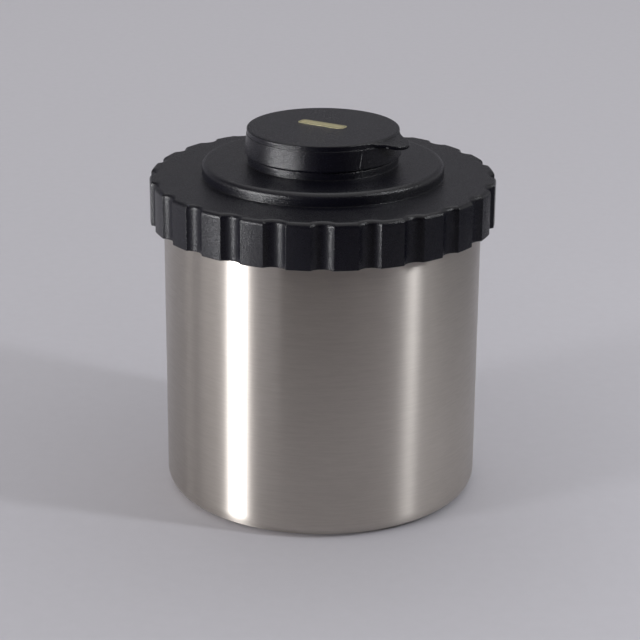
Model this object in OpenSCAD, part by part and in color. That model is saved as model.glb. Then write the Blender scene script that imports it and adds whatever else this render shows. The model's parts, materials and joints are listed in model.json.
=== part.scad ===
// Film developing canister: a steel daylight tank with a push-on black lid, a light
// baffle under the pouring neck, a soft cap, and two stacked wire reels inside.
// Millimetres, +Z up. The origin is the centre of the base, on the surface it stands on.

/* [Film and reels] */
// Width of the film that the reels hold
film_w = 35; // [30:1:46]
// Room left between the film's edges and the spokes
film_slack = 0.4; // [0.2:0.1:1]
// Number of turns of each wire spiral
turns = 10; // [8:1:10]
// Distance from one turn of the spiral to the next
spiral_pitch = 2.5; // [2.2:0.1:2.6]
// Diameter of the spiral wire
spiral_wire_d = 1.4; // [1:0.1:1.6]
// Diameter of the spoke wires
spoke_d = 2.2; // [1.8:0.1:2.6]
// Inside radius of the bend where a spoke becomes a post
spoke_bend_r = 1.9; // [1.5:0.1:3]
// Diameter of the core ring wire
ring_wire_d = 1.6; // [1.2:0.1:2]
// Distance of each core ring from the spokes' inner faces
ring_inset = 4; // [3:0.5:6]
// Gap between the posts and the innermost turn
core_gap = 1.2; // [0.6:0.1:2]
// How far welded wires sink into each other
weld = 0.1; // [0.05:0.01:0.2]
// Free space between a reel and the tank wall
reel_clear = 1.7; // [1:0.1:3]
// Gap under each reel
stack_gap = 0.2; // [0.1:0.05:0.5]

/* [Film clip] */
// Diameter of the clip's spring wire
clip_wire_d = 1; // [0.8:0.1:1.2]
// Height of the clip between the middles of its two arms
clip_h = 15; // [10:1:20]
// Radius of the corners at the clip's free end, along the wire's middle
clip_corner_r = 1.6; // [1.2:0.1:3]
// Gap between the clip's bar and the post it presses the film against
clip_gap = 0.3; // [0.25:0.05:0.6]
// Running clearance of the clip's eyes on their post
eye_clear = 0.05; // [0.03:0.01:0.1]

/* [Steel tank] */
// Outside diameter of the tank
tank_d = 88; // [86:0.5:92]
// Thickness of the steel
tank_wall = 0.8; // [0.6:0.1:1]
// Outside radius of the bottom corner
tank_corner_r = 4.5; // [3:0.5:7]
// Width of the flat ring that the tank stands on, measured from its side
base_ring_w = 11; // [9:0.5:16]
// Height of the pressed-in middle of the base
base_step_h = 0.6; // [0.3:0.1:1]
// Free space between the top reel and the lid's lowest inner edge
reel_headroom = 1.4; // [0.8:0.1:3]

/* [Lid] */
// Thickness of the lid's flat ring over the tank's rim
plate_t = 2.9; // [2:0.1:3.5]
// Height of the fluted grip ring
grip_h = 12.7; // [9:0.1:18]
// Wall of the grip ring at the bottom of a flute
grip_wall = 2.1; // [1.6:0.05:3]
// Number of flutes round the grip ring
flute_count = 24; // [16:1:28]
// Width of each flute at its mouth
flute_w = 6.2; // [4:0.1:7]
// Depth of each flute
flute_depth = 1.5; // [1:0.1:2]
// Radius of the grip ring's top edge
grip_edge_r = 1.3; // [0.4:0.1:1.6]
// Clearance between the lid's skirts and the tank wall
lid_clear = 0.15; // [0.1:0.05:0.3]
// Depth of the inner skirt that shuts out the light
trap_h = 5; // [3.5:0.1:8]
// Thickness of the inner skirt
trap_wall = 1.8; // [1.2:0.1:2.5]
// Diameter of the raised disc
disc_d = 66.8; // [64:0.2:70]
// Height of the raised disc above the flat ring
disc_h = 3.6; // [3.2:0.1:5]
// Radius of the raised disc's top edge
disc_edge_r = 1.6; // [0.6:0.1:2]
// Wall thickness of the raised disc
disc_wall = 2.3; // [1.8:0.1:2.8]

/* [Pouring neck] */
// Bore of the pouring neck
neck_bore_d = 34.6; // [28:0.2:35]
// Wall of the pouring neck
neck_wall = 2; // [1.5:0.1:2.4]
// Height of the neck above the raised disc
neck_h = 7.4; // [6:0.1:10]
// Height of the collar round the neck's foot
collar_h = 2.3; // [1.5:0.1:3]
// How far the collar stands out from the neck
collar_w = 1.5; // [1:0.1:2]
// Radius of the collar's top edge
collar_edge_r = 0.5; // [0.2:0.1:0.8]
// Length of the drip tube below the raised disc's ceiling
drip_h = 3.4; // [3:0.1:4]

/* [Light baffle] */
// Diameter of the baffle's cup
baffle_d = 48; // [45:0.5:49]
// Thickness of the baffle's floor
baffle_t = 1.6; // [1.2:0.1:2]
// Thickness of the baffle's rim
baffle_rim_w = 1.5; // [1:0.1:2]
// Width of the passage that the liquid takes round the baffle
flow_gap = 2.2; // [1.8:0.1:2.6]
// Number of pegs that hold the baffle
peg_count = 4; // [3:1:6]
// Diameter of each peg's pin
peg_d = 3; // [2:0.1:3.4]
// Length of each peg's pin
peg_l = 3; // [2:0.1:3]
// Diameter of the shoulder under each pin
shoulder_d = 5; // [4:0.1:5.4]
// Clearance of the pins in their sockets
peg_fit = 0.02; // [0:0.01:0.05]
// Gap between the sockets' bosses and the walls beside them
boss_gap = 0.5; // [0.3:0.1:0.8]

/* [Cap] */
// Wall of the cap's skirt at its top
cap_wall = 1.6; // [1.2:0.1:2.2]
// How much wider the cap's skirt is at its foot
cap_draft = 0.5; // [0.2:0.1:0.8]
// Thickness of the cap's top
cap_top_t = 1.8; // [1.6:0.1:2.6]
// Radius of the cap's top edge
cap_edge_r = 0.6; // [0.4:0.1:1.2]
// Height of the lip round the cap's top, down to the step in its side
lip_h = 1.7; // [1.3:0.1:2.5]
// How far the skirt steps out under the lip
lip_step = 0.1; // [0.05:0.05:0.2]
// Chamfer round the foot of the skirt
cap_foot_edge = 0.3; // [0.1:0.1:0.5]
// Radial clearance between the cap and the neck
cap_clear = 0.1; // [0.05:0.05:0.2]
// Gap between the neck's mouth and the cap's ceiling
cap_gap = 0.4; // [0.2:0.1:0.8]
// Radial clearance between the cap's plug and the neck's bore
plug_clear = 0.2; // [0.1:0.05:0.3]
// Wall of the cap's plug
plug_wall = 1.2; // [0.8:0.1:1.6]
// Depth of the cap's plug
plug_h = 3.2; // [2:0.1:4]
// Direction of the pull tab, from the front towards the right
tab_angle = 60; // [0:1:90]
// Width of the pull tab's round tip
tab_w = 9.2; // [7:0.2:10]
// How far the pull tab stands out from the cap's side
tab_reach = 5.4; // [4.6:0.2:8]
// How far round the cap the pull tab's root spreads to each side, in degrees
tab_flare = 25; // [20:1:30]
// How steeply the pull tab leans down, in degrees
tab_slope = 11; // [0:1:15]
// Thickness of the pull tab
tab_t = 1.2; // [1:0.1:2]
// How far the pull tab's root lies below the cap's top
tab_drop = 0.7; // [0.6:0.1:2]
// Radius of the pull tab's edges
tab_edge_r = 0.4; // [0.2:0.05:0.5]

/* [Hidden] */
steel = "silver";
plastic = [0.13, 0.13, 0.14];
round_fn = 128;
wire_fn = 24;

// Reel, from the film outwards
spoke_r = spoke_d / 2;
spiral_r = spiral_wire_d / 2;
gauge = film_w + film_slack;
reel_h = gauge + 2 * spoke_d;
tank_r = tank_d / 2;
tank_in_r = tank_r - tank_wall;
reel_r = tank_in_r - reel_clear;
half_turns = 2 * turns;
centre_shift = spiral_pitch / 4;
spiral_in_r = reel_r - spiral_r - centre_shift - (half_turns - 1) * spiral_pitch / 2;
post_circle_r = spiral_in_r - centre_shift - spiral_r - core_gap - spoke_r;
bend_r = spoke_bend_r + spoke_r;
spiral_z = gauge / 2 - spiral_r + weld;
spoke_z = gauge / 2 + spoke_r;
ring_wire_r = ring_wire_d / 2;
ring_r = post_circle_r - spoke_r - ring_wire_r + weld;
ring_z = gauge / 2 - ring_inset;
spoke_angles = [45, 135, 225, 315];

// Film clip, hung on the first post
clip_wire_r = clip_wire_d / 2;
eye_r = spoke_r + eye_clear + clip_wire_r;
post_x = post_circle_r * cos(spoke_angles[0]);
clip_turn = asin((clip_gap - eye_clear) / (2 * post_x));
clip_arm = 2 * post_x - clip_corner_r;
eye_sweep = 270;

// Heights of the stack, the tank and the lid
floor_z = tank_wall + base_step_h;
lower_mid_z = floor_z + stack_gap + reel_h / 2;
upper_mid_z = lower_mid_z + reel_h + stack_gap;
stack_top_z = upper_mid_z + reel_h / 2;
baffle_floor_drop = drip_h + flow_gap - disc_h + disc_wall - plate_t + baffle_t;
seat_z = stack_top_z + reel_headroom + max(trap_h, baffle_floor_drop);
ledge_z = seat_z + plate_t;
disc_z = ledge_z + disc_h;
ceiling_z = disc_z - disc_wall;
drip_z = ceiling_z - drip_h;

// Radii of the lid
skirt_in_r = tank_r + lid_clear;
flute_bottom_r = skirt_in_r + grip_wall;
grip_r = flute_bottom_r + flute_depth;
flute_r = (flute_w * flute_w / 4 + flute_depth * flute_depth) / (2 * flute_depth);
skirt_z = ledge_z - grip_h;
trap_r = tank_in_r - lid_clear;
disc_r = disc_d / 2;
chamber_r = disc_r - disc_wall;
neck_in_r = neck_bore_d / 2;
neck_r = neck_in_r + neck_wall;
neck_z = disc_z + neck_h;
collar_r = neck_r + collar_w;
collar_z = disc_z + collar_h;

// Baffle and its bosses, halfway between the cup and the chamber wall
baffle_r = baffle_d / 2;
peg_circle_r = (baffle_r + chamber_r) / 2;
boss_r = (chamber_r - baffle_r) / 2 - boss_gap;
peg_r = peg_d / 2;
shoulder_r = shoulder_d / 2;
socket_spare = 0.3;
baffle_top_z = drip_z - flow_gap;
baffle_rim_z = ceiling_z - flow_gap;

// Cap
cap_in_r = neck_r + cap_clear;
cap_r = cap_in_r + cap_wall;
cap_ceiling_z = neck_z + cap_gap;
cap_z = cap_ceiling_z + cap_top_t;
plug_r = neck_in_r - plug_clear;

// Pull tab: the round tip's centre, and the round cutter that touches both the tip and the cap
tab_half = tab_w / 2;
tab_tip_x = cap_r + tab_reach - tab_half;
tab_core = cap_r - tab_half;
waist_x = (tab_tip_x * tab_tip_x - tab_core * tab_core) / (2 * (tab_tip_x * cos(tab_flare) - tab_core));
waist_r = waist_x - cap_r;
waist_place = waist_x * [cos(tab_flare), sin(tab_flare)];
waist_skin = 0.05;

// A round block from the axis out to r, with its top edge rounded
module rounded_block(r, low, high, edge) {
  translate([0, low]) square([r, high - low - edge]);
  translate([0, low]) square([r - edge, high - low]);
  translate([r - edge, high - edge]) circle(r = edge, $fn = 64);
}

module tank_outline(r, corner, low, high) {
  translate([0, low]) square([r - corner, corner]);
  translate([0, low + corner]) square([r, high - low - corner]);
  translate([r - corner, low + corner]) circle(r = corner, $fn = 96);
}

module tank() {
  base_step_r = tank_r - base_ring_w;
  color(steel) rotate_extrude($fn = round_fn) difference() {
    intersection() {
      tank_outline(tank_r, tank_corner_r, 0, seat_z);
      square([tank_r + 1, seat_z]);
    }
    difference() {
      intersection() {
        tank_outline(tank_in_r, tank_corner_r - tank_wall, tank_wall, seat_z + 1);
        square([tank_r, seat_z + 1]);
      }
      square([base_step_r + tank_wall, floor_z]);
    }
    translate([0, -1]) square([base_step_r, 1 + base_step_h]);
  }
}

// One flute's cutter: a round post that flares at the lid's top edge
module flute_cutter() {
  translate([0, -grip_r + flute_depth - flute_r, 0]) rotate_extrude($fn = 64) {
    translate([0, skirt_z - 1]) square([flute_r, grip_h + 2]);
    difference() {
      translate([0, ledge_z - grip_edge_r]) square([flute_r + grip_edge_r, grip_edge_r + 1]);
      translate([flute_r + grip_edge_r, ledge_z - grip_edge_r]) circle(r = grip_edge_r, $fn = 64);
    }
  }
}

module lid_body() {
  rotate_extrude($fn = round_fn) difference() {
    union() {
      rounded_block(grip_r, skirt_z, ledge_z, grip_edge_r);
      rounded_block(disc_r, ledge_z - 1, disc_z, disc_edge_r);
      rounded_block(collar_r, disc_z - 1, collar_z, collar_edge_r);
      translate([0, disc_z - 1]) square([neck_r, neck_h + 1]);
    }
    translate([0, skirt_z - 1]) square([skirt_in_r, seat_z - skirt_z + 1]);
    translate([0, seat_z - 1]) square([chamber_r, ceiling_z - seat_z + 1]);
    square([neck_in_r, neck_z + 1]);
  }
}

module tube(outer, inner, low, high) {
  translate([0, 0, low]) difference() {
    cylinder(r = outer, h = high - low, $fn = round_fn);
    translate([0, 0, -1]) cylinder(r = inner, h = high - low + 2, $fn = round_fn);
  }
}

module lid() {
  color(plastic) difference() {
    union() {
      lid_body();
      tube(trap_r, trap_r - trap_wall, seat_z - trap_h, seat_z + plate_t / 2);
      tube(neck_r, neck_in_r, drip_z, ceiling_z + disc_wall / 2);
      at_pegs() translate([0, 0, drip_z]) cylinder(r = boss_r, h = drip_h + disc_wall / 2, $fn = 48);
    }
    for (i = [0 : flute_count - 1]) rotate([0, 0, i * 360 / flute_count]) flute_cutter();
    at_pegs() translate([0, 0, drip_z - 1])
      cylinder(r = peg_r + peg_fit, h = 1 + peg_l + socket_spare, $fn = 48);
  }
}

module at_pegs() {
  for (i = [0 : peg_count - 1]) rotate([0, 0, (i + 0.5) * 360 / peg_count]) translate([peg_circle_r, 0, 0])
    children();
}

module light_baffle() {
  floor_low = baffle_top_z - baffle_t;
  color(plastic) {
    translate([0, 0, floor_low]) linear_extrude(baffle_t) {
      circle(r = baffle_r, $fn = round_fn);
      for (i = [0 : peg_count - 1]) rotate([0, 0, (i + 0.5) * 360 / peg_count]) {
        translate([0, -shoulder_r]) square([peg_circle_r, shoulder_d]);
        translate([peg_circle_r, 0]) circle(r = shoulder_r, $fn = 48);
      }
    }
    tube(baffle_r, baffle_r - baffle_rim_w, floor_low, baffle_rim_z);
    at_pegs() {
      translate([0, 0, floor_low]) cylinder(r = shoulder_r, h = drip_z - floor_low, $fn = 48);
      translate([0, 0, floor_low]) cylinder(r = peg_r, h = drip_z - floor_low + peg_l, $fn = 48);
    }
  }
}

module cap_shell() {
  foot_r = cap_r + cap_draft;
  rotate_extrude($fn = round_fn) difference() {
    union() {
      rounded_block(cap_r, collar_z, cap_z, cap_edge_r);
      polygon([[0, collar_z], [foot_r - cap_foot_edge, collar_z], [foot_r, collar_z + cap_foot_edge],
        [cap_r + lip_step, cap_z - lip_h], [0, cap_z - lip_h]]);
    }
    translate([0, collar_z - 1]) square([cap_in_r, cap_ceiling_z - collar_z + 1]);
  }
}

// The pull tab lies under its own top plane: a round tip, and a root that two round cutters
// narrow towards the tip and flare into the cap
module pull_tab() {
  root = (cap_r + waist_skin) * [cos(tab_flare), sin(tab_flare)];
  meet = waist_r / (waist_r + tab_half) * ([tab_tip_x, 0] - waist_place) + waist_place;
  inner_meet = [meet.x, meet.y - waist_skin];
  difference() {
    union() {
      translate([tab_tip_x, 0, 0]) rotate_extrude($fn = 96) tab_tip_outline();
      translate([0, 0, -tab_t]) linear_extrude(tab_t)
        polygon([[0, 0], [root.x, -root.y], [inner_meet.x, -inner_meet.y], inner_meet, root]);
    }
    for (side = [0, 1]) mirror([0, side, 0]) translate([waist_place.x, waist_place.y, 0]) waist_cutter();
  }
}

module tab_tip_outline() {
  translate([0, -tab_t]) square([tab_half - tab_edge_r, tab_t]);
  translate([0, tab_edge_r - tab_t]) square([tab_half, tab_t - 2 * tab_edge_r]);
  for (z = [-tab_edge_r, tab_edge_r - tab_t]) translate([tab_half - tab_edge_r, z])
    circle(r = tab_edge_r, $fn = 48);
}

// A round post that flares at the tab's top and bottom faces, to round the edges that it cuts
module waist_cutter() {
  post_r = waist_r - waist_skin;
  translate([0, 0, -tab_t / 2]) rotate_extrude($fn = 96) {
    translate([0, -tab_t]) square([post_r, 2 * tab_t]);
    for (side = [0, 1]) mirror([0, side]) translate([0, tab_t / 2 - tab_edge_r]) difference() {
      square([post_r + tab_edge_r, tab_t]);
      translate([post_r + tab_edge_r, 0]) circle(r = tab_edge_r, $fn = 48);
    }
  }
}

module cap() {
  color(plastic) {
    cap_shell();
    tube(plug_r, plug_r - plug_wall, cap_ceiling_z - plug_h, cap_ceiling_z + cap_top_t / 2);
    difference() {
      rotate([0, 0, tab_angle - 90]) translate([cap_r, 0, cap_z - tab_drop])
        rotate([0, tab_slope, 0]) translate([-cap_r, 0, 0]) pull_tab();
      translate([0, 0, collar_z])
        cylinder(r = cap_r - cap_wall / 2, h = 2 * (cap_z - collar_z), $fn = round_fn);
    }
  }
}

// A flat spiral of half-turns struck from two centres, each half-turn half a pitch wider
module spiral(mid_z) {
  color(steel) translate([0, 0, mid_z]) for (k = [0 : half_turns - 1]) {
    flip = k % 2 == 0;
    translate([flip ? -centre_shift : centre_shift, 0, 0]) rotate([0, 0, flip ? 0 : 180])
      rotate_extrude(angle = 180, $fn = 96)
        translate([spiral_in_r + k * spiral_pitch / 2, 0]) circle(r = spiral_r, $fn = wire_fn);
  }
}

// One wire bent into a square C: a spoke out, the post through the core, a spoke back out
module spoke_wire(mid_z, angle) {
  spoke_start = post_circle_r + bend_r;
  color(steel) translate([0, 0, mid_z]) rotate([0, 0, angle]) {
    translate([post_circle_r, 0, bend_r - spoke_z])
      cylinder(r = spoke_r, h = 2 * (spoke_z - bend_r), $fn = wire_fn);
    for (side = [0, 1]) mirror([0, 0, side]) {
      translate([spoke_start, 0, spoke_z - bend_r]) rotate([90, 0, 0]) rotate([0, 0, 90])
        rotate_extrude(angle = 90, $fn = 96) translate([bend_r, 0]) circle(r = spoke_r, $fn = wire_fn);
      translate([spoke_start, 0, spoke_z]) rotate([0, 90, 0])
        cylinder(r = spoke_r, h = reel_r - spoke_start, $fn = wire_fn);
    }
  }
}

module core_ring(mid_z) {
  color(steel) translate([0, 0, mid_z]) rotate_extrude($fn = round_fn)
    translate([ring_r, 0]) circle(r = ring_wire_r, $fn = wire_fn);
}

// Spring wire hoop: two open eyes on the first post, two arms and a bar by the second post
module film_clip(mid_z) {
  color(steel) translate([post_x, post_x, mid_z]) rotate([0, 0, clip_turn]) {
    for (side = [0, 1]) mirror([0, 0, side]) translate([0, 0, clip_h / 2]) {
      rotate([0, 0, -90]) rotate_extrude(angle = eye_sweep, $fn = 96)
        translate([eye_r, 0]) circle(r = clip_wire_r, $fn = wire_fn);
      translate([-clip_arm, -eye_r, 0]) rotate([0, 90, 0])
        cylinder(r = clip_wire_r, h = clip_arm, $fn = wire_fn);
      translate([-clip_arm, -eye_r, -clip_corner_r]) rotate([90, 0, 0]) rotate([0, 0, 90])
        rotate_extrude(angle = 90, $fn = 96) translate([clip_corner_r, 0])
          circle(r = clip_wire_r, $fn = wire_fn);
    }
    translate([-clip_arm - clip_corner_r, -eye_r, clip_corner_r - clip_h / 2])
      cylinder(r = clip_wire_r, h = clip_h - 2 * clip_corner_r, $fn = wire_fn);
  }
}

tank();
lid();
light_baffle();
cap();
spiral(lower_mid_z - spiral_z);  // lower_reel_bottom_spiral
spiral(lower_mid_z + spiral_z);  // lower_reel_top_spiral
spoke_wire(lower_mid_z, spoke_angles[0]);  // lower_reel_spoke_wire_1
spoke_wire(lower_mid_z, spoke_angles[1]);  // lower_reel_spoke_wire_2
spoke_wire(lower_mid_z, spoke_angles[2]);  // lower_reel_spoke_wire_3
spoke_wire(lower_mid_z, spoke_angles[3]);  // lower_reel_spoke_wire_4
core_ring(lower_mid_z - ring_z);  // lower_reel_bottom_core_ring
core_ring(lower_mid_z + ring_z);  // lower_reel_top_core_ring
film_clip(lower_mid_z);  // lower_reel_film_clip
spiral(upper_mid_z - spiral_z);  // upper_reel_bottom_spiral
spiral(upper_mid_z + spiral_z);  // upper_reel_top_spiral
spoke_wire(upper_mid_z, spoke_angles[0]);  // upper_reel_spoke_wire_1
spoke_wire(upper_mid_z, spoke_angles[1]);  // upper_reel_spoke_wire_2
spoke_wire(upper_mid_z, spoke_angles[2]);  // upper_reel_spoke_wire_3
spoke_wire(upper_mid_z, spoke_angles[3]);  // upper_reel_spoke_wire_4
core_ring(upper_mid_z - ring_z);  // upper_reel_bottom_core_ring
core_ring(upper_mid_z + ring_z);  // upper_reel_top_core_ring
film_clip(upper_mid_z);  // upper_reel_film_clip
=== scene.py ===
import bmesh
import bpy
import json
import math
from mathutils import Matrix, Vector


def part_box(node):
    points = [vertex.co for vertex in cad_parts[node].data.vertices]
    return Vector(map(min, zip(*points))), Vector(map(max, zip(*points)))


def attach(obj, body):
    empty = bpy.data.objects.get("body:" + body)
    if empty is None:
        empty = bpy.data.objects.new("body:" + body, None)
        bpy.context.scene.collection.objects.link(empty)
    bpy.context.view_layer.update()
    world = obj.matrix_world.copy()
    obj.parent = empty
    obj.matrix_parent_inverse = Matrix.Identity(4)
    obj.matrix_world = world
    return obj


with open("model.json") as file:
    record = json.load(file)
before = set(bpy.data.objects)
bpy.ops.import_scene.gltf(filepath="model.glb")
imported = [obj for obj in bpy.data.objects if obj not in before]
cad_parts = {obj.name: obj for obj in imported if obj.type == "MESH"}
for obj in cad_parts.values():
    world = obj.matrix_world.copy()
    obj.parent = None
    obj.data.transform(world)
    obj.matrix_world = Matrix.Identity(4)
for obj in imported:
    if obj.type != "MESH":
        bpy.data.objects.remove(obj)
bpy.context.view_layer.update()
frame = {"nodes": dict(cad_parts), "record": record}
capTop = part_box("cap")[1].z
mm = 0.001


# Shader maths: a socket that takes part in Python expressions
class Sock:
    def __init__(self, paint, out):
        self.paint = paint
        self.out = out

    def math(self, operation, first, second):
        return self.paint.node("ShaderNodeMath", {"operation": operation}, {0: first, 1: second})

    def __add__(self, other):
        return self.math("ADD", self, other)

    def __radd__(self, other):
        return self.math("ADD", other, self)

    def __sub__(self, other):
        return self.math("SUBTRACT", self, other)

    def __rsub__(self, other):
        return self.math("SUBTRACT", other, self)

    def __mul__(self, other):
        return self.math("MULTIPLY", self, other)

    def __rmul__(self, other):
        return self.math("MULTIPLY", other, self)


# A node tree being built, either a material's or the world's
class Paint:
    def __init__(self, name, world=False):
        owner = bpy.data.worlds.new(name) if world else bpy.data.materials.new(name)
        owner.use_nodes = True
        self.owner = owner
        self.tree = owner.node_tree
        self.tree.nodes.clear()
        self.end = "ShaderNodeOutputWorld" if world else "ShaderNodeOutputMaterial"

    def node(self, kind, settings=None, sockets=None, out=0):
        made = self.tree.nodes.new(kind)
        for key, value in (settings or {}).items():
            if key == "stops":
                self.setStops(made.color_ramp, value)
            else:
                setattr(made, key, value)
        for key, value in (sockets or {}).items():
            if isinstance(value, Sock):
                self.tree.links.new(value.out, made.inputs[key])
            else:
                made.inputs[key].default_value = value
        return Sock(self, made.outputs[out]) if made.outputs else made

    def setStops(self, ramp, stops):
        while len(ramp.elements) < len(stops):
            ramp.elements.new(1.0)
        for element, (place, shade) in zip(ramp.elements, stops):
            element.position = place
            element.color = shade

    def place(self, stretch=(1.0, 1.0, 1.0)):
        spot = self.node("ShaderNodeTexCoord", {}, {}, "Object")
        return self.node("ShaderNodeVectorMath", {"operation": "MULTIPLY"}, {0: spot, 1: stretch})

    def noise(self, spot, scale, detail=3.0, rough=0.5):
        sockets = {"Vector": spot, "Scale": scale, "Detail": detail, "Roughness": rough}
        return self.node("ShaderNodeTexNoise", {}, sockets)

    def ramp(self, value, low, high):
        sockets = {"Value": value, "From Min": low, "From Max": high}
        return self.node("ShaderNodeMapRange", {"interpolation_type": "SMOOTHSTEP"}, sockets)

    def blend(self, amount, first, second):
        return self.node("ShaderNodeMix", {"data_type": "RGBA"}, {0: amount, 6: first, 7: second}, 2)

    def bump(self, height, strength, depth, edge=None):
        sockets = {"Height": height, "Strength": strength, "Distance": depth}
        if edge:
            sockets["Normal"] = edge
        return self.node("ShaderNodeBump", {}, sockets)

    def softEdge(self, radius):
        return self.node("ShaderNodeBevel", {"samples": 6}, {"Radius": radius})

    def cameraRay(self):
        return self.node("ShaderNodeLightPath", {}, {}, "Is Camera Ray")

    def finish(self, shader):
        self.node(self.end, {}, {"Surface": shader})
        return self.owner


def colour(r, g, b):
    return (r, g, b, 1.0)


def scaled(shade, share):
    return colour(*(part * share for part in shade))


def newPiece(name, bm, materials, smooth=None):
    mesh = bpy.data.meshes.new(name)
    bm.to_mesh(mesh)
    bm.free()
    piece = bpy.data.objects.new(name, mesh)
    bpy.context.scene.collection.objects.link(piece)
    for material in materials:
        mesh.materials.append(material)
    if smooth is not None:
        mesh.shade_smooth()
        mesh.set_sharp_from_angle(angle=math.radians(smooth))
    return piece


def flatRectangle(size):
    bm = bmesh.new()
    bmesh.ops.create_grid(bm, x_segments=1, y_segments=1, size=0.5)
    bmesh.ops.scale(bm, vec=(*size, 1.0), verts=bm.verts)
    return bm


# Camera, at the photograph's viewing angle
cameraSettings = {
    "lens": 115.94,                          # mm, on the sensor's width
    "sensor": 36.0,
    "clip": (0.01, 20.0),
    "place": (0.0, -548.65 * mm, 246.86 * mm),
    "tilt": math.radians(90 - 19.978),       # it looks down by 19.978 degrees
    "pan": 0.000898,
    "roll": 0.00738,
}


def makeCamera(s):
    data = bpy.data.cameras.new("camera")
    data.lens = s["lens"]
    data.sensor_width = s["sensor"]
    data.clip_start, data.clip_end = s["clip"]
    camera = bpy.data.objects.new("camera", data)
    bpy.context.scene.collection.objects.link(camera)
    tilt = Matrix.Rotation(s["tilt"], 4, "X")
    turn = Matrix.Rotation(s["pan"], 4, "Z") @ tilt @ Matrix.Rotation(s["roll"], 4, "Z")
    camera.matrix_world = Matrix.Translation(s["place"]) @ turn
    bpy.context.scene.camera = camera


# Studio lamps: azimuth is counted from the front, positive to the right; sizes in metres, power in watts
lampAim = Vector((0.0, 0.0, 50 * mm))
lampSettings = {
    "left lamp": {
        "azimuth": -60.1, "elevation": 3.2, "away": 1.3,
        "size": (0.218, 0.244), "power": 14.0, "tint": (0.98, 0.985, 1.0),
    },
    "left halo": {                           # softens the edges of the left lamp's reflection
        "azimuth": -60.1, "elevation": 3.2, "away": 1.31,
        "size": (0.285, 0.29), "power": 0.75, "tint": (1.0, 0.985, 0.96),
    },
    "left strip": {
        "azimuth": -106, "elevation": 10, "away": 1.2,
        "size": (0.12, 0.6), "power": 0.18, "tint": (1.0, 0.98, 0.95),
    },
    "left glow": {
        "azimuth": -82, "elevation": 8, "away": 1.2,
        "size": (0.44, 0.6), "power": 0.65, "tint": (1.0, 0.98, 0.96),
    },
    "right lamp": {
        "azimuth": 69.7, "elevation": 31, "away": 0.62,
        "size": (0.05, 0.16), "power": 1.08, "tint": (0.95, 0.97, 1.0),
    },
    "right glow": {
        "azimuth": 86, "elevation": 25, "away": 1.2,
        "size": (0.3, 0.6), "power": 0.25, "tint": (1.0, 0.98, 0.96),
    },
    "top panel": {
        "azimuth": 180, "elevation": 58, "away": 1.3,
        "size": (1.1, 0.8), "power": 2.0, "tint": (0.94, 0.96, 1.0),
    },
    "ceiling": {
        "azimuth": 0, "elevation": 90, "away": 1.5,
        "size": (2.6, 2.6), "power": 17, "tint": (1.0, 0.99, 0.985),
    },
    "back panel": {
        "azimuth": 180, "elevation": 16, "away": 1.6,
        "size": (3.2, 1.1), "power": 2.15, "tint": (0.87, 0.89, 1.0),
    },
    "left wall": {
        "azimuth": -118, "elevation": 12, "away": 1.4,
        "size": (1.7, 0.9), "power": 0.45, "tint": (0.95, 0.98, 1.0),
    },
    "right wall": {
        "azimuth": 106, "elevation": 22, "away": 1.4,
        "size": (1.5, 0.9), "power": 1.95, "tint": (0.97, 0.99, 1.0),
    },
}


def makeLamp(name, s):
    data = bpy.data.lights.new(name, "AREA")
    data.shape = "RECTANGLE"
    data.size, data.size_y = s["size"]
    data.energy = s["power"]
    data.color = s["tint"]
    lamp = bpy.data.objects.new(name, data)
    bpy.context.scene.collection.objects.link(lamp)
    azimuth, elevation = math.radians(s["azimuth"]), math.radians(s["elevation"])
    flat = math.cos(elevation)
    away = Vector((math.sin(azimuth) * flat, -math.cos(azimuth) * flat, math.sin(elevation)))
    lamp.location = lampAim + away * s["away"]
    lamp.rotation_euler = away.to_track_quat("Z", "Y").to_euler()
    lamp.visible_camera = False


# The camera sees a pale backdrop, and the light around the object is that of a dim room
worldSettings = {
    "backdrop": (0.452, 0.446, 0.480),
    "room": (0.048, 0.041, 0.035),
}


def makeWorld(s):
    paint = Paint("studio", world=True)
    shade = paint.blend(paint.cameraRay(), colour(*s["room"]), colour(*s["backdrop"]))
    bpy.context.scene.world = paint.finish(paint.node("ShaderNodeBackground", {}, {"Color": shade}))


# Pale paper floor, its colour painted lighter further from the object (so further back) as painted light
# where the lamps fall off, and fading into the backdrop
floorSettings = {
    "half": 3.0,
    "segments": 8,
    "near": (0.540, 0.533, 0.576),
    "far": (0.72, 0.712, 0.761),
    "reach": (0.02, 0.75),                   # metres from the object, from near to far
    "stops": [(0.0, 0.0), (0.25, 0.42), (1.0, 1.0)],
    "fade": (0.85, 1.25),                    # metres, over which the backdrop takes its place
    "mottle": 260.0,                         # waves per metre
    "mottleShade": (0.97, 0.06),             # least value, and what the mottle adds
    "mottleRough": (0.85, 0.1),
    "specular": 0.1,
}


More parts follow.
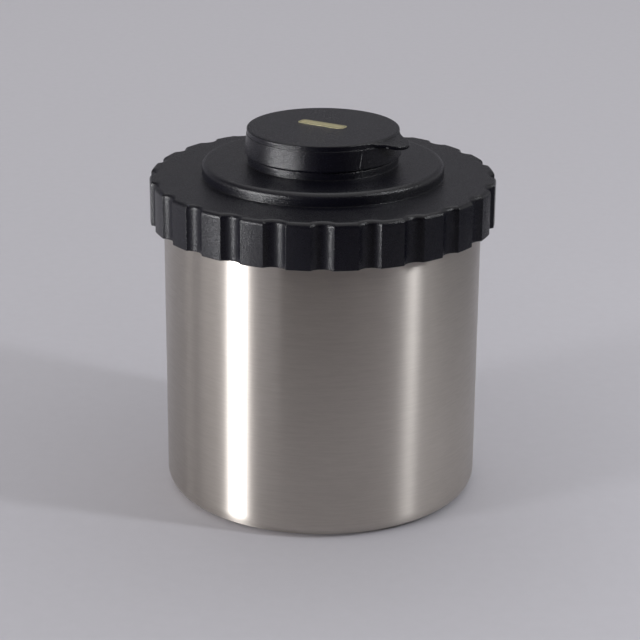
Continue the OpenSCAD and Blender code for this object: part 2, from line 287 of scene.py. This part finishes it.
def floorPaper(s):
    paint = Paint("floorPaper")
    spot = paint.place()
    away = paint.node("ShaderNodeVectorMath", {"operation": "LENGTH"}, {0: spot}, 1)
    stops = [(place, colour(level, level, level)) for place, level in s["stops"]]
    near, far = s["reach"]
    paintedFalloff = paint.node("ShaderNodeValToRGB", {"stops": stops}, {0: (away - near) * (1.0 / (far - near))})
    mottle = paint.noise(spot, s["mottle"], 4.0, 0.6)
    palest, shadeSwing = s["mottleShade"]
    smoothest, roughSwing = s["mottleRough"]
    # painted light: the paper's colour goes from the darker near shade to the lighter far one with
    # distance from the object
    shade = paint.blend(paintedFalloff, colour(*s["near"]), colour(*s["far"]))
    amount = {0: shade, "Scale": palest + shadeSwing * mottle}
    sockets = {
        "Base Color": paint.node("ShaderNodeVectorMath", {"operation": "SCALE"}, amount),
        "Roughness": smoothest + roughSwing * mottle,
        "Specular IOR Level": s["specular"],
    }
    paper = paint.node("ShaderNodeBsdfPrincipled", {}, sockets)
    sweep = paint.node("ShaderNodeEmission", {}, {"Color": colour(*worldSettings["backdrop"])})
    hidden = paint.ramp(away, *s["fade"]) * paint.cameraRay()
    return paint.finish(paint.node("ShaderNodeMixShader", {}, {0: hidden, 1: paper, 2: sweep}))


def makeFloor(s):
    bm = bmesh.new()
    bmesh.ops.create_grid(bm, x_segments=s["segments"], y_segments=s["segments"], size=s["half"])
    floor = newPiece("floor", bm, [floorPaper(s)])


# Dark cards outside the view, seen in reflections alone and throwing no shadow.
# The front one keeps the steel's middle dark, and the side one the right of the black lid.
cardSettings = {
    "frontCard": {
        "size": (0.28, 0.25), "tilt": -90, "place": (0.045, -0.19, 0.125),
        "colour": (0.06, 0.045, 0.033),
    },
    "sideCard": {
        "size": (0.42, 0.70), "tilt": 0, "place": (0.40, 0.05, 0.001),
        "colour": (0.07, 0.07, 0.085),
    },
}


def makeCard(name, s):
    bm = flatRectangle(s["size"])
    bmesh.ops.rotate(bm, verts=bm.verts, matrix=Matrix.Rotation(math.radians(s["tilt"]), 3, "X"))
    bmesh.ops.translate(bm, vec=s["place"], verts=bm.verts)
    paint = Paint(name)
    sockets = {"Base Color": colour(*s["colour"]), "Roughness": 1.0, "Specular IOR Level": 0.0}
    card = newPiece(name, bm, [paint.finish(paint.node("ShaderNodeBsdfPrincipled", {}, sockets))])
    card.visible_camera = False
    card.visible_shadow = False
    card.visible_diffuse = False


# Brushed steel: fine scratches that run round the can, on its wall, its corner and its base alike
steelSettings = {
    "colour": (0.605, 0.562, 0.515),
    "dark": (0.52, 0.482, 0.44),
    "along": 150.0,                          # scratch lengths, waves per metre
    "across": 2200.0,                        # scratch spacing, waves per metre
    "octaves": 4.0,
    "octaveGain": 0.75,
    "streakRange": (0.34, 0.66),             # heights of the noise that make the streaks
    "cloud": 22.0,                           # waves per metre
    "cloudStretch": (1.0, 1.0, 3.0),
    "darkening": (0.45, 0.25),               # by the streaks and by the clouds
    "roughness": 0.31,
    "roughening": (0.04, 0.03),              # by the streaks and by the clouds
    "anisotropy": 0.98,
    "grainTurn": 0.25,                       # share of a full turn, so that highlights run up and down
    "groove": 0.0015 * mm,
    "edge": 0.2 * mm,
}


def roundScratches(paint, along, across):
    parts = paint.node("ShaderNodeSeparateXYZ", {}, {"Vector": paint.place()})
    x, y, z = (Sock(paint, out) for out in parts.out.node.outputs)
    radius = paint.node("ShaderNodeMath", {"operation": "SQRT"}, {0: x * x + y * y})
    sockets = {"X": x * along, "Y": y * along, "Z": (z + radius) * across}
    return paint.node("ShaderNodeCombineXYZ", {}, sockets)


def brushedSteel(name, s):
    paint = Paint(name)
    scratches = roundScratches(paint, s["along"], s["across"])
    fine = paint.noise(scratches, 1.0, s["octaves"], s["octaveGain"])
    cloud = paint.noise(paint.place(s["cloudStretch"]), s["cloud"], 2.0)
    streak = paint.ramp(fine, *s["streakRange"])
    streakDark, cloudDark = s["darkening"]
    streakRough, cloudRough = s["roughening"]
    dark = streak * streakDark + cloud * cloudDark
    sockets = {
        "Base Color": paint.blend(dark, colour(*s["colour"]), colour(*s["dark"])),
        "Metallic": 1.0,
        "Roughness": s["roughness"] + streak * streakRough + cloud * cloudRough,
        "Anisotropic": s["anisotropy"],
        "Anisotropic Rotation": s["grainTurn"],
        "Normal": paint.bump(fine, 1.0, s["groove"], paint.softEdge(s["edge"])),
    }
    return paint.finish(paint.node("ShaderNodeBsdfPrincipled", {}, sockets))


# Black moulded plastic with a fine spark-eroded grain, whose cells are cones of the given slope
plasticSettings = {
    "lidPlastic": {
        "colour": (0.003, 0.003, 0.006), "roughness": 0.205, "grain": 5600.0, "slope": 10.5,
        "speckle": 0.008 * mm, "edge": 0.3 * mm,
    },
    "capPlastic": {
        "colour": (0.003, 0.003, 0.006), "roughness": 0.185, "grain": 5000.0, "slope": 12,
        "speckle": 0.045 * mm, "edge": 0.45 * mm,
    },
    "bafflePlastic": {
        "colour": (0.016, 0.016, 0.017), "roughness": 0.43, "grain": 2000.0, "slope": 6,
        "speckle": 0.05 * mm, "edge": 0.2 * mm,
    },
}
mouldedSurface = {
    "ior": 1.45,
    "cloud": 60.0,                           # waves per metre
    "cloudLight": 1.35,                      # how much lighter the clouds are than the colour
    "speckle": 2500.0,                       # waves per metre
    "roughening": (0.08, 0.05),              # by the grain and by the clouds
}


def mouldedPlastic(name, s, surface):
    paint = Paint(name)
    spot = paint.place()
    cells = {"Vector": spot, "Scale": s["grain"]}
    grain = paint.node("ShaderNodeTexVoronoi", {"feature": "F1"}, cells)
    cloud = paint.noise(spot, surface["cloud"], 3.0)
    speckle = paint.noise(spot, surface["speckle"], 1.0)
    grainRough, cloudRough = surface["roughening"]
    depth = math.tan(math.radians(s["slope"])) / s["grain"]
    height = grain * depth + speckle * s["speckle"]
    sockets = {
        "Base Color": paint.blend(cloud, colour(*s["colour"]), scaled(s["colour"], surface["cloudLight"])),
        "Roughness": s["roughness"] + grain * grainRough + cloud * cloudRough,
        "IOR": surface["ior"],
        "Normal": paint.bump(height, 1.0, 1.0, paint.softEdge(s["edge"])),
    }
    return paint.finish(paint.node("ShaderNodeBsdfPrincipled", {}, sockets))


# Drawn and polished steel wire
wireSettings = {
    "reelWire": {"colour": (0.66, 0.65, 0.64), "roughness": 0.15},
    "clipWire": {"colour": (0.58, 0.58, 0.58), "roughness": 0.21},
}
drawnSurface = {
    "drawn": 3000.0,                         # waves per metre
    "cloud": 120.0,
    "cloudDark": (0.6, 0.85),                # how far the clouds go towards this share of the colour
    "roughening": (0.08, 0.06),              # by the drawing marks and by the clouds
    "marks": (0.2, 0.005 * mm),              # strength and depth
}


def polishedWire(name, s, surface):
    paint = Paint(name)
    spot = paint.place()
    drawn = paint.noise(spot, surface["drawn"], 3.0, 0.6)
    cloud = paint.noise(spot, surface["cloud"], 2.0)
    amount, share = surface["cloudDark"]
    drawnRough, cloudRough = surface["roughening"]
    sockets = {
        "Base Color": paint.blend(cloud * amount, colour(*s["colour"]), scaled(s["colour"], share)),
        "Metallic": 1.0,
        "Roughness": s["roughness"] + drawn * drawnRough + cloud * cloudRough,
        "Normal": paint.bump(drawn, *surface["marks"]),
    }
    return paint.finish(paint.node("ShaderNodeBsdfPrincipled", {}, sockets))


def paintNode(name, material):
    mesh = frame["nodes"][name].data
    mesh.materials.clear()
    mesh.materials.append(material)


def paintNodes():
    steel = brushedSteel("tankSteel", steelSettings)
    plastics = {name: mouldedPlastic(name, s, mouldedSurface) for name, s in plasticSettings.items()}
    wires = {name: polishedWire(name, s, drawnSurface) for name, s in wireSettings.items()}
    finishes = {
        "tank_steel": steel,
        "lid_plastic": plastics["lidPlastic"],
        "baffle_plastic": plastics["bafflePlastic"],
        "cap_plastic": plastics["capPlastic"],
        "reel_wire": wires["reelWire"],
        "clip_wire": wires["clipWire"],
    }
    for part in frame["record"]["subparts"]:
        paintNode(part["node"], finishes[part["material_slot"]])
    return finishes


# Bare gold-coloured foil plate on the cap, with a darker line pressed in near its edge
labelSettings = {
    "centre": (-0.2 * mm, 2.1 * mm),
    "size": (14.4 * mm, 3.7 * mm),
    "turn": math.radians(-31),
    "proud": 0.05 * mm,
    "sunk": 0.05 * mm,
    "corner": 1.15 * mm,
    "cornerSteps": 8,
    "rim": 0.42 * mm,                        # from the edge to the line
    "line": 0.26 * mm,
    "foil": (0.60, 0.55, 0.33),
    "ink": (0.27, 0.235, 0.13),
    "smooth": 30,                            # degrees, past which an edge stays sharp
}
foilSurface = {
    "grain": 4000.0,                         # waves per metre
    "grainDark": (0.5, 0.8),                 # how far the grain goes towards this share of the colour
    "metallic": 0.7,
    "roughness": (0.38, 0.14),               # least value, and what the grain adds
}


def goldFoil(name, shade, surface):
    paint = Paint(name)
    grain = paint.noise(paint.place(), surface["grain"], 2.0)
    amount, share = surface["grainDark"]
    smoothest, swing = surface["roughness"]
    sockets = {
        "Base Color": paint.blend(grain * amount, colour(*shade), scaled(shade, share)),
        "Metallic": surface["metallic"],
        "Roughness": smoothest + grain * swing,
    }
    return paint.finish(paint.node("ShaderNodeBsdfPrincipled", {}, sockets))


def makeLabel(s):
    bm = flatRectangle(s["size"])
    corners = {"offset": s["corner"], "segments": s["cornerSteps"], "affect": "VERTICES"}
    bmesh.ops.bevel(bm, geom=bm.verts[:], profile=0.5, material=-1, **corners)
    made = bmesh.ops.extrude_face_region(bm, geom=bm.faces[:])
    lifted = [item for item in made["geom"] if isinstance(item, bmesh.types.BMVert)]
    bmesh.ops.translate(bm, vec=(0, 0, s["proud"] + s["sunk"]), verts=lifted)
    top = max(bm.faces, key=lambda face: face.calc_center_median().z)
    bmesh.ops.inset_region(bm, faces=[top], thickness=s["rim"])
    inked = bmesh.ops.inset_region(bm, faces=[top], thickness=s["line"])
    for face in inked["faces"]:
        face.material_index = 1
    bmesh.ops.recalc_face_normals(bm, faces=bm.faces)
    bmesh.ops.rotate(bm, verts=bm.verts, matrix=Matrix.Rotation(s["turn"], 3, "Z"))
    bmesh.ops.translate(bm, vec=(*s["centre"], capTop - s["sunk"]), verts=bm.verts)
    foil = goldFoil("labelFoil", s["foil"], foilSurface)
    ink = goldFoil("labelInk", s["ink"], foilSurface)
    label = newPiece("labelPlate", bm, [foil, ink], s["smooth"])
    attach(label, "cap")


# Marks that the mould left on the cap: a parting line and its flash by the tab, a gate and two pips
markSettings = {
    "line": [(29.6, 21.16, 101.5), (27.6, 21.48, 97.1)],       # azimuth, radius and height of its ends
    "flash": [(34.0, 20.95, 103.4), (30.2, 21.16, 101.6)],
    "thick": 0.2 * mm,
    "rodSides": 16,
    "gate": (17.27, -15.35, 102.04),                           # x, y and height
    "gateRadius": 0.42 * mm,
    "pips": [(13.03, -16.55, 103.2), (14.0, -16.1, 103.0)],
    "pipRadius": 0.24 * mm,
    "smooth": 60,
}


def roundTheCap(azimuth, radius, height):
    turn = math.radians(azimuth)
    return Vector((radius * math.sin(turn), -radius * math.cos(turn), height)) * mm


def addBall(bm, centre, radius, steps):
    place = Matrix.Translation(centre)
    bmesh.ops.create_icosphere(bm, subdivisions=steps, radius=radius, matrix=place)


def addRod(bm, first, last, radius, sides):
    along = last - first
    turn = along.to_track_quat("Z", "Y").to_matrix().to_4x4()
    place = Matrix.Translation((first + last) / 2) @ turn
    sizes = {"radius1": radius, "radius2": radius, "depth": along.length}
    bmesh.ops.create_cone(bm, cap_ends=True, segments=sides, matrix=place, **sizes)
    for end in (first, last):
        addBall(bm, end, radius, 2)


def makeMouldMarks(s, plastic):
    bm = bmesh.new()
    for ends in (s["line"], s["flash"]):
        addRod(bm, *(roundTheCap(*end) for end in ends), s["thick"], s["rodSides"])
    addBall(bm, Vector(s["gate"]) * mm, s["gateRadius"], 3)
    for pip in s["pips"]:
        addBall(bm, Vector(pip) * mm, s["pipRadius"], 3)
    marks = newPiece("capMouldMarks", bm, [plastic], s["smooth"])
    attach(marks, "cap")


# Weld beads where the spirals cross the spoke wires, in mm and degrees
weldSettings = {
    "reels": {"lower_reel": 21.5, "upper_reel": 61.5},         # height of each reel's middle
    "backSpokes": (45, 135),                 # counted from the right, towards the back
    "frontSpokes": (225, 315),
    "halfTurns": 20,
    "first": 16.425,                         # radius of the first half-turn
    "step": 1.25,
    "shift": 0.625,                          # of the half-turns' centres off the axis
    "out": 17.8,                             # from the reel's middle
    "radius": 0.78,
    "smooth": 60,
}


def weldPlaces(s):
    for k in range(s["halfTurns"]):
        atBack = k % 2 == 0
        centre = -s["shift"] if atBack else s["shift"]
        radius = s["first"] + k * s["step"]
        for spoke in s["backSpokes"] if atBack else s["frontSpokes"]:
            turn = math.radians(spoke)
            out = centre * math.cos(turn) + math.sqrt(radius ** 2 - (centre * math.sin(turn)) ** 2)
            yield out * math.cos(turn), out * math.sin(turn)


def makeWelds(s, wire):
    for body, middle in s["reels"].items():
        bm = bmesh.new()
        for x, y in weldPlaces(s):
            for height in (middle - s["out"], middle + s["out"]):
                addBall(bm, Vector((x, y, height)) * mm, s["radius"] * mm, 3)
        welds = newPiece(body + "_welds", bm, [wire], s["smooth"])
        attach(welds, body)


makeCamera(cameraSettings)
for lampName, lamp in lampSettings.items():
    makeLamp(lampName, lamp)
makeWorld(worldSettings)
makeFloor(floorSettings)
for cardName, card in cardSettings.items():
    makeCard(cardName, card)
print("camera, lamps, floor and cards are in place")
finishes = paintNodes()
print("nodes are painted")
makeLabel(labelSettings)
makeMouldMarks(markSettings, finishes["cap_plastic"])
makeWelds(weldSettings, finishes["reel_wire"])
print("label, mould marks and welds are in place")

view = bpy.context.scene.view_settings
view.view_transform = "Standard"
